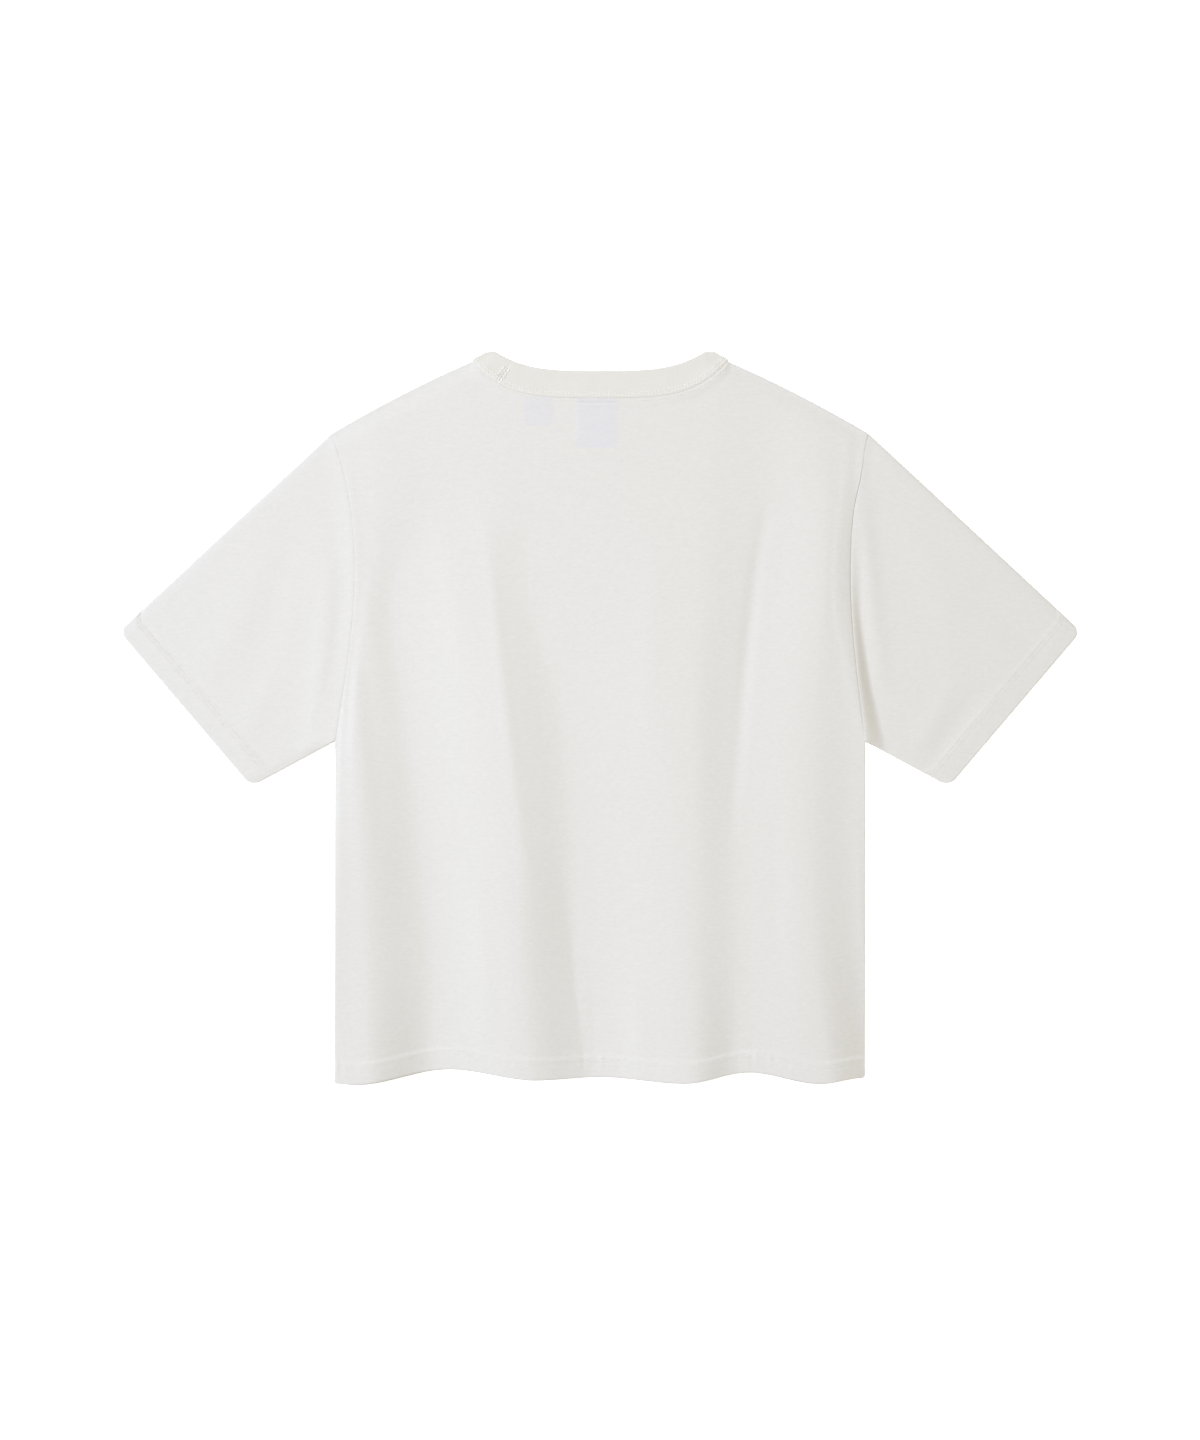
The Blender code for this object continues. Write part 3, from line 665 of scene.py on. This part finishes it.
# Neck rib --------------------------------------------------------------------------------
# A band of rib knit, folded double and sewn round the neck under light stretch, so that it
# lies flat. It folds over at both neck points. Its ends are joined on the left of the back.
RIM_X, RIM_Y = 97.0, 332.2          # the rim's corner at each neck point
BACK_RIM_DROP, BACK_RIM_POWER = 19.1, 3.5       # as of the back's neck seam
FRONT_RIM_DROP = 80.0
RIM_ROUND = 1.6         # the fold at the rim takes this much of the band's width
RIM_CORNER = 4.8        # how far that corner is rounded
RIB_FOLD_Z = 2.1        # height of the upper layer where the band folds over
RIB_HALF = 0.7          # half the doubled band's thickness
RIB_PITCH = 2.1         # one rib and one furrow
RIB_RIDGE = 0.05        # how far a rib stands up
JOIN_X = -93.0          # where the band's ends are joined


def even_steps(points_at, first, last, step):
    """Values between first and last whose points lie evenly along the curve."""
    fine = np.linspace(first, last, 4000)
    points = points_at(fine)
    run = np.concatenate([[0], np.cumsum(np.hypot(*np.diff(points, axis=1)))])
    count = int(round(run[-1] / step))
    return np.interp(np.linspace(0, run[-1], count + 1), run, fine)


def rib_stations():
    """Seam point, rim point and outward direction of each section, all round the neck."""
    def back_seam(u):
        return np.stack([NECK_X * u, back_neck(NECK_X * u)])

    def front_seam(u):
        turn = math.pi / 2 * u
        return np.stack([NECK_X * np.sin(turn), NECK_Y - FRONT_NECK_DROP * np.cos(turn)])

    stations = []
    for u in even_steps(back_seam, -1, 1, 0.42):
        seam = back_seam(u)
        rim = np.array([RIM_X * u, RIM_Y - BACK_RIM_DROP * (1 - abs(u) ** BACK_RIM_POWER)])
        drop = RIM_CORNER * rolled(RIM_X * (1 - abs(u)), RIM_CORNER)
        rim = mix(rim, seam, drop / np.hypot(*(rim - seam)))
        on_back = back_lift(seam[:1], seam[1:])[0] + FRONT_TOP + 0.5
        z_seam = max(RIB_FOLD_Z, on_back)
        z_rim = mix(RIB_FOLD_Z, z_seam, 0.3)
        stations.append(([*seam, z_seam], [*rim, z_rim], (0, 0, 1)))
    length = math.hypot(NECK_X - RIM_X, RIM_Y - NECK_Y)
    across = np.array([(RIM_Y - NECK_Y) / length, (NECK_X - RIM_X) / length])
    turn_r = (RIB_FOLD_Z - RIB_HALF) / 2
    turned = []
    for k in range(1, 8):
        turn = math.pi * k / 8
        z = RIB_HALF + turn_r + turn_r * math.cos(turn)
        seam = np.array([NECK_X, NECK_Y]) + across * turn_r * math.sin(turn)
        rim = np.array([RIM_X, RIM_Y]) + across * turn_r * math.sin(turn)
        rim = mix(rim, seam, RIM_CORNER / length)
        face = (*(across * math.sin(turn)), math.cos(turn))
        turned.append(([*seam, z], [*rim, z], face))
    stations += turned
    for u in even_steps(front_seam, 1, -1, 0.42):
        seam = front_seam(u)
        turn = math.pi / 2 * u
        rim = np.array([RIM_X * math.sin(turn), RIM_Y - FRONT_RIM_DROP * math.cos(turn)])
        drop = RIM_CORNER * rolled(FRONT_RIM_DROP * math.cos(turn), RIM_CORNER)
        rim = mix(rim, seam, drop / np.hypot(*(rim - seam)))
        stations.append(([*seam, RIB_HALF], [*rim, RIB_HALF], (0, 0, -1)))
    for seam, rim, face in reversed(turned):
        stations.append(([-seam[0], *seam[1:]], [-rim[0], *rim[1:]], (-face[0], *face[1:])))
    return (np.array(part, float) for part in zip(*stations))


def seam_rise(out):
    """How much higher the rib lies over the turned seam allowance, this far out."""
    return 0.3 * smooth((7.6 - out) / 2.2)


def rib_band():
    """Points of the doubled band: a closed section at each station, out from the seam over
    the rim and back."""
    seam, rim, face = rib_stations()
    band = rim - seam
    width = np.linalg.norm(band, axis=1, keepdims=True)
    band /= width
    run = np.cumsum(np.linalg.norm(np.diff(seam, axis=0, prepend=seam[:1]), axis=1))[:, None]
    ridge = RIB_RIDGE * np.cos(2 * math.pi * run / RIB_PITCH)
    join = np.exp(-((seam[:, :1] - JOIN_X) / 1.1) ** 2) * (face[:, 2:] > 0.9)
    loops = []
    # Outer face, from the seam to the rim: distance from the seam and height.
    shares = (0.0, 0.02, 0.06, 0.11, 0.17, 0.24, 0.31, 0.4, 0.52, 0.66, 0.8, 0.9)
    for share in shares:
        out = share * (width - RIM_ROUND)
        raised = seam_rise(out) * smooth(out / 1.2)
        level = RIB_HALF * (1 - 0.4 * rolled(out, 1.1)) + raised
        level = level + ridge * smooth(out / 3) - 0.25 * join
        loops.append(seam + band * out + face * level)
    for turn in (0.0, 0.3, 0.6, 0.85, 1.1, 1.35, math.pi / 2):
        out = width - RIM_ROUND * (1 - math.sin(turn))
        level = RIB_HALF * math.cos(turn) + ridge * (1 - math.sin(turn))
        loops.append(seam + band * out + face * level)
    for turn in (0.5, 1.0, math.pi / 2):
        out = width - RIM_ROUND * (1 - math.cos(turn))
        loops.append(seam + band * out - face * RIB_HALF * math.sin(turn))
    for share in (0.75, 0.5, 0.25, 0.04):
        loops.append(seam + band * share * width - face * RIB_HALF)
    loops.append(seam - face * RIB_HALF * 0.5)
    return np.stack(loops, 1)


def ring_faces(sections, around):
    """Faces of a ring of closed sections."""
    index = np.arange(sections * around).reshape(sections, around)
    ahead, beside = np.roll(index, -1, 0), np.roll(index, -1, 1)
    both = np.roll(ahead, -1, 1)
    return np.stack([index, beside, both, ahead], -1).reshape(-1, 4).tolist()


def rib_knit(name, color):
    """Two-by-one cotton rib: knitted on two needle beds, so it stretches, with plain ribs
    and furrows. The ribs are in the mesh, and this gives the loops along each rib."""
    material, tree, shader = new_material(name, {
        "Roughness": 0.9, "Specular IOR Level": 0.22, "Sheen Weight": 0.12,
        "Sheen Roughness": 0.6})
    place = node(tree, "ShaderNodeTexCoord", {}, {}).outputs["Object"]
    # Loops are about 0.9 mm high, drawn at 1.1 mm.
    loops = node(tree, "ShaderNodeTexVoronoi", {"feature": "F1", "Scale": 900.0},
                 {"Vector": place}).outputs["Distance"]
    cloud = node(tree, "ShaderNodeTexNoise", {"Scale": 60.0, "Detail": 3.0}, {"Vector": place})
    paint = node(tree, "ShaderNodeMix", {"data_type": "RGBA", 6: linear(color[1]),
                                         7: linear(color[0])},
                 {"Factor": cloud.outputs["Fac"]})
    tree.links.new(paint.outputs[2], shader.inputs["Base Color"])
    bump = node(tree, "ShaderNodeBump", {"Strength": 0.25, "Distance": 0.0001},
                {"Height": loops})
    tree.links.new(bump.outputs["Normal"], shader.inputs["Normal"])
    return material


cotton_rib = rib_knit("washed_cotton_rib", ("#E4E3E0", "#E0DFDC"))
band = rib_band()
rib = sewn_piece("neck_band", band.reshape(-1, 3), ring_faces(*band.shape[:2]), cotton_rib)
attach(rib, "root")
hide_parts("neck_rib")


# Label and size tab ----------------------------------------------------------------------
# A woven satin label and a small tab, both plain, caught in the back's neck seam. They hang
# inside the shirt, under the back.
TAPE = 0.45             # woven tape's thickness


def tape(name, middle, width, drop, material):
    """A short tape under the back, with its lower end and sides slit and a little thinner."""
    across = np.linspace(-0.5, 0.5, 19)[None, :] * width + middle
    down = TAPE_TOP - np.linspace(0, 1, 21)[:, None] * drop
    x, y = across + 0 * down, down + 0 * across
    under_back = FRONT_TOP + back_lift(x, y) - GAP
    sag = 0.12 * (1 + uneven(x / 7 + y / 9, middle))
    edge = np.minimum(width / 2 - abs(x - middle), y - (TAPE_TOP - drop))
    woven = 0.08 * rolled(edge - 0.9, 0.6) * (edge > 0.9)
    outer = np.stack([x, y, under_back - TAPE - sag - woven], -1)
    inner = np.stack([x, y, under_back - sag], -1)
    return sewn_piece(name, *cloth_shell(outer, inner), material)


def woven_satin(name, color):
    """Polyester label satin: woven with long floats, so it has a soft sheen, and slit and
    folded to size."""
    material, tree, shader = new_material(name, {"Roughness": 0.45, "Specular IOR Level": 0.4})
    place = node(tree, "ShaderNodeTexCoord", {}, {}).outputs["Object"]
    # Weft floats stand 0.35 mm apart.
    floats = node(tree, "ShaderNodeTexWave", {"bands_direction": "Y", "Scale": 140.0,
                                              "Distortion": 0.6}, {"Vector": place})
    paint = node(tree, "ShaderNodeMix", {"data_type": "RGBA", 6: linear(color[1]),
                                         7: linear(color[0])},
                 {"Factor": floats.outputs["Fac"]})
    tree.links.new(paint.outputs[2], shader.inputs["Base Color"])
    bump = node(tree, "ShaderNodeBump", {"Strength": 0.2, "Distance": 0.00005},
                {"Height": floats.outputs["Fac"]})
    tree.links.new(bump.outputs["Normal"], shader.inputs["Normal"])
    return material


label_satin = woven_satin("white_label_satin", ("#EEF0F6", "#E2E4EC"))
for name, node_name, middle, width, drop in (
        ("woven_label", "label", LABEL_X, LABEL_WIDTH, LABEL_DROP),
        ("woven_size_tab", "size_tab", TAB_X, TAB_WIDTH, TAB_DROP)):
    piece = tape(name, middle, width, drop, label_satin)
    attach(piece, "root")
    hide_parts(node_name)


# Stitches --------------------------------------------------------------------------------
# Spun sewing thread, in stitches of 3 mm: two rows along each hem and cuff, two along the
# neck rib's sewn edge, one on the back just below it, and a net over the rib's join.
STITCH = 3.0
STITCH_SHOWN = 2.5      # the length of thread that lies on top, between two holes
HEM_THREAD = 0.18       # half its thickness in the hems
NECK_THREAD = 0.32      # and in the softer topstitch round the neck


def stitch_row(path, face, half):
    """Points and faces of a row of low arched stitches along a path, out from its face, in
    thread of this half thickness."""
    step = np.linalg.norm(np.diff(path, axis=0), axis=1)
    run = np.concatenate([[0], np.cumsum(step)])
    count = int((run[-1] + 0.2) // STITCH)
    starts = (np.arange(count) * STITCH + (STITCH - STITCH_SHOWN) / 2)[:, None]
    shares = np.array([0.0, 0.22, 0.5, 0.78, 1.0])[None, :]
    at = starts + shares * STITCH_SHOWN
    spine = np.stack([np.interp(at, run, path[:, k]) for k in range(3)], -1)
    out = np.stack([np.interp(at[:, 2], run, face[:, k]) for k in range(3)], -1)
    out /= np.linalg.norm(out, axis=1, keepdims=True)
    ahead = spine[:, -1] - spine[:, 0]
    aside = np.cross(ahead, out)
    aside /= np.linalg.norm(aside, axis=1, keepdims=True)
    # Each stitch dips into the cloth at both ends.
    rise = np.array([-0.12, 0.1, 0.17, 0.1, -0.12])
    spine = spine + rise[None, :, None] * out[:, None, :]
    points, faces = [], []
    for k in range(count):
        base = len(points)
        points.append(spine[k, 0])
        for ring in (1, 2, 3):
            for turn in np.arange(6) * math.pi / 3:
                points.append(spine[k, ring] + half * (math.cos(turn) * aside[k]
                                                         + math.sin(turn) * out[k]))
        points.append(spine[k, 4])
        for j in range(6):
            here, there = base + 1 + j, base + 1 + (j + 1) % 6
            faces.append([base, there, here])
            faces += [[here + 6 * r, there + 6 * r, there + 6 * r + 6, here + 6 * r + 6]
                      for r in (0, 1)]
            faces.append([here + 12, there + 12, base + 19])
    return points, faces


def stitched(name, rows, material, half=HEM_THREAD):
    """One piece of thread from rows, each a path and the way its face looks."""
    points, faces = [], []
    for path, face in rows:
        more_points, more_faces = stitch_row(path, face, half)
        faces += [[k + len(points) for k in corners] for corners in more_faces]
        points += more_points
    piece = sewn_piece(name, points, faces, material)
    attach(piece, "root")
    return piece


def inward(grid, depth):
    """Points this far in from a grid's last row, one on each column, closed to a loop, and
    the way the cloth's face looks there."""
    rows = grid[::-1]
    run = np.cumsum(np.linalg.norm(np.diff(rows, axis=0, prepend=rows[:1]), axis=2), axis=0)
    path, inner = (np.stack([[np.interp(far, run[:, j], rows[:, j, k]) for k in range(3)]
                             for j in range(grid.shape[1])]) for far in (depth, depth + 4))
    around = np.roll(path, -1, 0) - np.roll(path, 1, 0)
    face = np.cross(around, inner - path)
    middle = path[:, 2].mean()
    face *= np.sign(face[:, 2:] * (path[:, 2:] - middle) + 1e-9)
    return np.concatenate([path, path[:1]]), np.concatenate([face, face[:1]])


def thread(name, color):
    """Spun sewing thread: two plies twisted together, matt, a shade lighter than the cloth."""
    material, tree, shader = new_material(name, {"Roughness": 0.75, "Specular IOR Level": 0.3})
    place = node(tree, "ShaderNodeTexCoord", {}, {}).outputs["Object"]
    plies = node(tree, "ShaderNodeTexWave", {"bands_direction": "DIAGONAL", "Scale": 450.0,
                                             "Distortion": 1.0}, {"Vector": place})
    paint = node(tree, "ShaderNodeMix", {"data_type": "RGBA", 6: linear(color[1]),
                                         7: linear(color[0])}, {"Factor": plies.outputs["Fac"]})
    tree.links.new(paint.outputs[2], shader.inputs["Base Color"])
    return material


sewing_thread = thread("spun_sewing_thread", ("#EBEAE9", "#E0DFDD"))
topstitch_thread = thread("soft_topstitch_thread", ("#FAF9F9", "#EFEDEC"))

x = np.linspace(-SIDE + 4, SIDE - 4, 900)
up_face = np.tile((0.0, 0.0, 1.0), (len(x), 1))
hem_rows = [HEM_DEPTH - needle for needle in NEEDLES]
cuff_rows = [CUFF_DEPTH - needle for needle in NEEDLES]
stitched("back_hem_stitches",
         [(np.stack([x, hem(x) + depth, back_outer(x, hem(x) + depth)], -1), up_face)
          for depth in hem_rows], sewing_thread)
stitched("front_hem_stitches",
         [(np.stack([x, hem(x) + FRONT_HEM_SHORT + depth, 0 * x + 0.25], -1), -up_face)
          for depth in hem_rows], sewing_thread)
for name, side in (("left_cuff_stitches", -1), ("right_cuff_stitches", 1)):
    stitched(name, [inward(cuffs[side], depth) for depth in cuff_rows], sewing_thread)

seam, rim, face = rib_stations()
band = (rim - seam) / np.linalg.norm(rim - seam, axis=1, keepdims=True)
RIB_ROWS = (2.4, 5.2)   # two rows on the rib, out from the seam
BACK_ROW = 2.6          # and one on the back, below it
neck_rows = [(seam + band * out + face * (RIB_HALF + 0.2), face) for out in RIB_ROWS]
for path, _ in neck_rows:
    path[:, 2] = np.maximum(path[:, 2], 0.45)      # pressed into the rib where it rests
on_back = face[:, 2] > 0.999
below = seam[on_back] - band[on_back] * BACK_ROW
below[:, 2] = back_outer(below[:, 0], below[:, 1])
stitched("neck_stitches", neck_rows, topstitch_thread, NECK_THREAD)
stitched("neck_stitches_below", [(below, face[on_back])], sewing_thread)

# The join of the band's ends is flattened with a net of zigzags across it. Each leg of a
# zigzag is one stitch.
ZIG_HALF = 1.25         # half a zigzag's width
ZIG_ENDS = 10           # corners along it
on_join = int(np.argmin(abs(seam[:, 0] - JOIN_X) + 100 * (face[:, 2] < 0.999)))
start, way, turn = seam[on_join], band[on_join], np.cross(face[on_join], band[on_join])
out = 1.2 + math.sqrt(STITCH ** 2 - 4 * ZIG_HALF ** 2) * np.arange(ZIG_ENDS)[:, None]
zigzags = []
for column in (-1, 0, 1):
    aside = 2 * ZIG_HALF * column + ZIG_HALF * (-1.0) ** (np.arange(ZIG_ENDS)[:, None] + column)
    path = start + way * out + turn * aside
    path[:, 2:] += RIB_HALF + 0.12 + seam_rise(out)
    zigzags.append((path, np.tile((0.0, 0.0, 1.0), (ZIG_ENDS, 1))))
stitched("band_join_stitches", zigzags, topstitch_thread, NECK_THREAD)


# Studio ----------------------------------------------------------------------------------
# A plain white table under the shirt, bright all over, as the ground of a cut-out. One large
# soft light from the left and high up draws the folds. A weak soft light overhead, a warm
# lamp on the right and a dim warm surround fill the shade. The camera looks straight down.
TABLE_SIZE = 60.0       # metres, so that its edge is out of view from low down too
TABLE_DROP = 0.0003     # level with the lowest stitches, on which the shirt lies
bpy.ops.object.select_all(action="DESELECT")
bpy.ops.mesh.primitive_plane_add(size=TABLE_SIZE, location=(0, 0, -TABLE_DROP))
table = bpy.context.object
table.name = "table_top"
table.data.materials.append(new_material("white_table", {
    "Base Color": linear("#FBFBFB"), "Roughness": 0.9,
    "Emission Color": (1.0, 1.0, 1.0, 1.0), "Emission Strength": 0.8})[0])

scene = bpy.context.scene
scene.view_settings.view_transform = "Standard"
world = bpy.data.worlds.new("studio")
world.use_nodes = True
world.node_tree.nodes["Background"].inputs["Color"].default_value = (1.0, 0.898, 0.57, 1.0)
world.node_tree.nodes["Background"].inputs["Strength"].default_value = 0.2
scene.world = world
for name, place, size, power, tint in (
        ("window_softbox", (-4.4, 1.1, 5.3), 2.6, 392.0, (0.905, 0.993, 1.20)),
        ("overhead_softbox", (0.0, 0.2, 1.9), 1.4, 11.5, (1.0, 0.908, 0.64)),
        ("warm_lamp", (2.4, -0.4, 2.4), 0.9, 6.5, (1.0, 0.74, 0.48))):
    bpy.ops.object.light_add(type="AREA", location=place)
    lamp = bpy.context.object
    lamp.name = name
    lamp.data.size = size
    lamp.data.energy = power
    lamp.data.color = tint
    lamp.rotation_euler = (-Vector(place)).to_track_quat("-Z", "Y").to_euler()

VIEW_HEIGHT = 1.296     # metres of table from the picture's top to its bottom
DISTANCE = 3.2          # from the camera to the cloth
CLOTH_LEVEL = 0.003     # height of the cloth's middle
CENTRE_Y = -0.00135     # the picture's centre, just below the shirt's
camera_data = bpy.data.cameras.new("camera")
camera_data.sensor_width = 36.0
camera_data.lens = 36.0 * DISTANCE / VIEW_HEIGHT
camera = bpy.data.objects.new("camera", camera_data)
camera.location = (0.0, CENTRE_Y, DISTANCE + CLOTH_LEVEL)
scene.collection.objects.link(camera)
scene.camera = camera
